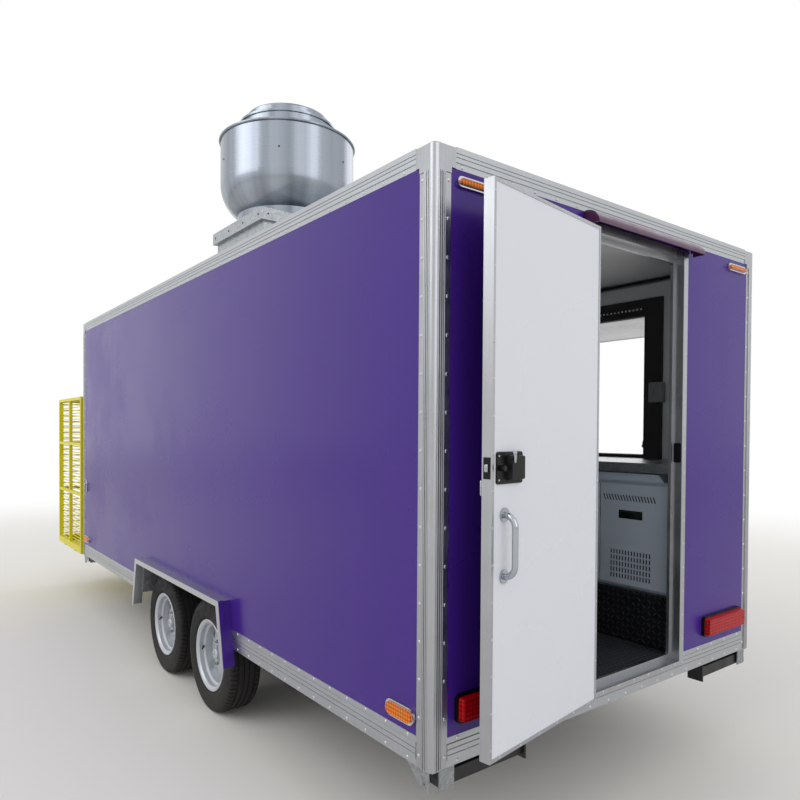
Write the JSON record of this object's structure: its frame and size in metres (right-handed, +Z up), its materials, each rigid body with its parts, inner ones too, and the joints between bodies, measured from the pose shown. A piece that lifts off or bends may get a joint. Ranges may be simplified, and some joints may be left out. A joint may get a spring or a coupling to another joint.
{
  "type": "food trailer",
  "caption": "Box-bodied catering trailer on tandem axles with an open rear door, a raised serving flap, a roof exhaust fan and a slatted cage on the drawbar.",
  "frame": {"origin": "on the ground, under the middle of the whole outline with door and flap open", "axes": "+X forward to the coupler, +Y to the left side, +Z up"},
  "size_m": [7.0823, 3.286, 3.559],
  "materials": {
    "purple_skin": "gloss",
    "white_skin": "gloss",
    "extrusion": "satin",
    "dark_hood": "gloss",
    "black_plastic": "matte",
    "dark_trim": "satin",
    "galvanised": "spangled",
    "stainless": "brushed",
    "black_steel": "satin",
    "tyre_rubber": "dusty",
    "wheel_paint": "silver",
    "cage_paint": "gloss",
    "spun_aluminium": "spun",
    "red_lens": "gloss",
    "lamp_lens": "gloss",
    "checker": "gloss",
    "fridge_steel": "brushed",
    "floor_covering": "checker",
    "chrome_rod": "polished",
    "solid_rubber": "matte"
  },
  "bodies": {
    "trailer": {"floor_panel": "floor_covering", "roof_panel": "white_skin", "wall_front": "purple_skin", "wall_left": "purple_skin", "wall_right": "purple_skin", "wall_rear": "purple_skin", "door_frame": "extrusion", "corner_posts": "extrusion", "body_rails": "extrusion", "rain_hood": "dark_hood", "window_frame": "extrusion", "axles": "black_steel", "chassis_rails": "black_steel", "cross_members": "black_steel", "leaf_springs": "black_steel", "wheel_boxes": "galvanised", "arch_surrounds": "purple_skin", "drawbar": "black_steel", "coupler": "galvanised", "jack": "galvanised", "stabiliser_brackets": "galvanised", "cage_frame": "cage_paint", "cage_slats": "cage_paint", "fan_curb": "spun_aluminium", "fan_bowl": "spun_aluminium", "fan_cap": "spun_aluminium", "tail_lamp_housings": "black_plastic", "tail_lamp_lenses": "red_lens", "marker_lamps": "lamp_lens", "door_hinges": "extrusion", "exhaust_hood": "stainless", "cage_hinges": "cage_paint", "window_liner": "dark_trim", "platform": "checker", "fridge": "fridge_steel", "serving_counter": "stainless"},
    "rear_door": {"door_edge": "extrusion", "door_panel": "white_skin", "door_lock": "black_plastic", "door_handle": "stainless"},
    "serving_flap": {"flap_panel": "purple_skin", "flap_edge": "extrusion", "flap_brackets": "galvanised"},
    "strut_cylinders": {"flap_cylinders": "black_steel"},
    "strut_rods": {"flap_rods": "chrome_rod"},
    "jockey_wheel": {"jockey_wheel": "solid_rubber"},
    "cage_door_left": {"cage_door_left": "cage_paint"},
    "cage_door_right": {"cage_door_right": "cage_paint"},
    "wheel_rear_left": {"tyre_rear_left": "tyre_rubber", "rim_rear_left": "wheel_paint"},
    "stabiliser_rear_left": {"stabiliser_rear_left": "black_steel"},
    "wheel_rear_right": {"tyre_rear_right": "tyre_rubber", "rim_rear_right": "wheel_paint"},
    "stabiliser_rear_right": {"stabiliser_rear_right": "black_steel"},
    "wheel_front_left": {"tyre_front_left": "tyre_rubber", "rim_front_left": "wheel_paint"},
    "stabiliser_front_left": {"stabiliser_front_left": "black_steel"},
    "wheel_front_right": {"tyre_front_right": "tyre_rubber", "rim_front_right": "wheel_paint"},
    "stabiliser_front_right": {"stabiliser_front_right": "black_steel"}
  },
  "joints": [
    {"name": "rear_door_hinge", "type": "hinge", "parent": "trailer", "child": "rear_door", "pos_m": [-3.33091, 0.758, 1.521], "axis": [0, 0, 1], "range_deg": [0, 171]},
    {"name": "serving_flap_hinge", "type": "hinge", "parent": "trailer", "child": "serving_flap", "pos_m": [-1.53891, -0.743, 2.399], "axis": [1, 0, 0], "range_deg": [0, 90]},
    {"name": "strut_pivot", "type": "hinge", "parent": "trailer", "child": "strut_cylinders", "pos_m": [-1.53891, -0.697, 1.574], "axis": [1, 0, 0], "range_deg": [-24, 0]},
    {"name": "strut_slide", "type": "slide", "parent": "strut_cylinders", "child": "strut_rods", "axis": [0, -0.4059, 0.9139], "range_m": [-0.331, 0]},
    {"name": "wheel_rear_left_spin", "type": "hinge", "parent": "trailer", "child": "wheel_rear_left", "pos_m": [-1.25441, 1.458, 0.327], "axis": [0, 1, 0], "continuous": true},
    {"name": "wheel_rear_right_spin", "type": "hinge", "parent": "trailer", "child": "wheel_rear_right", "pos_m": [-1.25441, -0.602, 0.327], "axis": [0, 1, 0], "continuous": true},
    {"name": "wheel_front_left_spin", "type": "hinge", "parent": "trailer", "child": "wheel_front_left", "pos_m": [-0.45941, 1.458, 0.327], "axis": [0, 1, 0], "continuous": true},
    {"name": "wheel_front_right_spin", "type": "hinge", "parent": "trailer", "child": "wheel_front_right", "pos_m": [-0.45941, -0.602, 0.327], "axis": [0, 1, 0], "continuous": true},
    {"name": "jockey_wheel_spin", "type": "hinge", "parent": "trailer", "child": "jockey_wheel", "pos_m": [3.20109, 0.428, 0.1], "axis": [0, 1, 0], "continuous": true},
    {"name": "cage_door_left_hinge", "type": "hinge", "parent": "trailer", "child": "cage_door_left", "pos_m": [2.89109, 1.003, 1.214], "axis": [0, 0, 1], "range_deg": [0, 120]},
    {"name": "cage_door_right_hinge", "type": "hinge", "parent": "trailer", "child": "cage_door_right", "pos_m": [2.89109, -0.147, 1.214], "axis": [0, 0, -1], "range_deg": [0, 120]},
    {"name": "stabiliser_rear_left_pivot", "type": "hinge", "parent": "trailer", "child": "stabiliser_rear_left", "pos_m": [-3.26891, 1.498, 0.429], "axis": [1, 0, 0], "range_deg": [0, 90]},
    {"name": "stabiliser_rear_right_pivot", "type": "hinge", "parent": "trailer", "child": "stabiliser_rear_right", "pos_m": [-3.26891, -0.642, 0.429], "axis": [-1, 0, 0], "range_deg": [0, 90]},
    {"name": "stabiliser_front_left_pivot", "type": "hinge", "parent": "trailer", "child": "stabiliser_front_left", "pos_m": [1.74109, 1.498, 0.429], "axis": [1, 0, 0], "range_deg": [0, 90]},
    {"name": "stabiliser_front_right_pivot", "type": "hinge", "parent": "trailer", "child": "stabiliser_front_right", "pos_m": [1.74109, -0.642, 0.429], "axis": [-1, 0, 0], "range_deg": [0, 90]}
  ],
  "couplings": [
    {"joint": "strut_pivot", "follows": "serving_flap_hinge", "ratio": -0.2661},
    {"joint": "strut_slide", "follows": "serving_flap_hinge", "m_per_rad": -0.20842}
  ]
}
